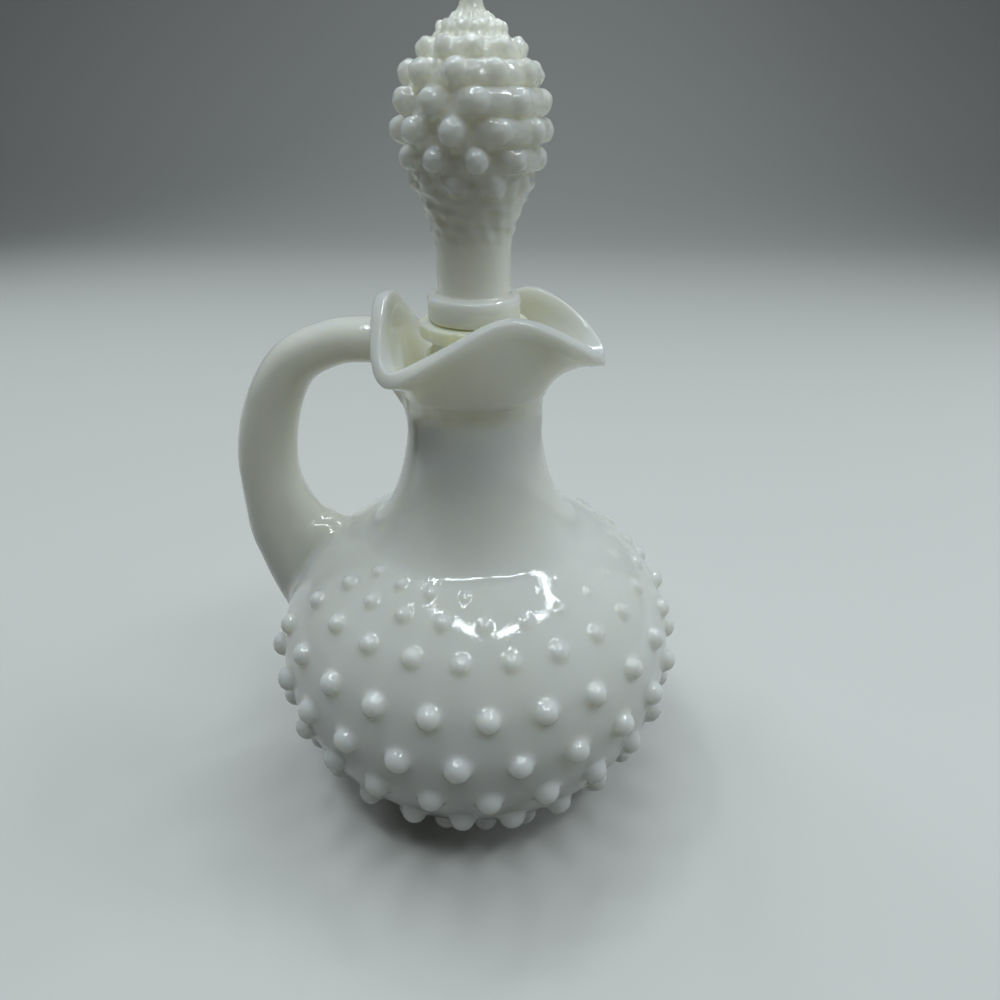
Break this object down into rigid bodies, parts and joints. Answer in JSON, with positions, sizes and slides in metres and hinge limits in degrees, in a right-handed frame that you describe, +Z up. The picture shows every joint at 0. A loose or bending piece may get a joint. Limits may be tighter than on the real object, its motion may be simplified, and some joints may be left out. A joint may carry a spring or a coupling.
{
  "type": "cruet bottle",
  "caption": "Opaque white glass cruet with a hobnail globe, a ruffled pouring lip, a C handle and a hobnail stopper that lifts out of the neck in a plastic sleeve.",
  "frame": {"origin": "centre of the foot on the neck's axis, on the plane the bottle stands on", "axes": "+Z up along the neck; +X towards the pouring spout; -X towards the handle; +Y completes the right-handed frame"},
  "size_m": [0.0891, 0.0824, 0.147],
  "materials": {
    "opal_glass": "glossy opaque white glass",
    "aged_plastic": "yellowed, slightly cloudy soft plastic"
  },
  "bodies": {
    "vessel": {"bottle": "opal_glass", "handle": "opal_glass"},
    "plug": {"stopper_sleeve": "aged_plastic"},
    "finial": {"stopper": "opal_glass"}
  },
  "joints": [
    {"name": "stopper_lift", "type": "slide", "parent": "vessel", "child": "plug", "axis": [0, 0, 1], "range_m": [0, 0.042]},
    {"name": "stopper_turn", "type": "hinge", "parent": "plug", "child": "finial", "pos_m": [0, 0, 0.098], "axis": [0, 0, 1], "continuous": true}
  ]
}
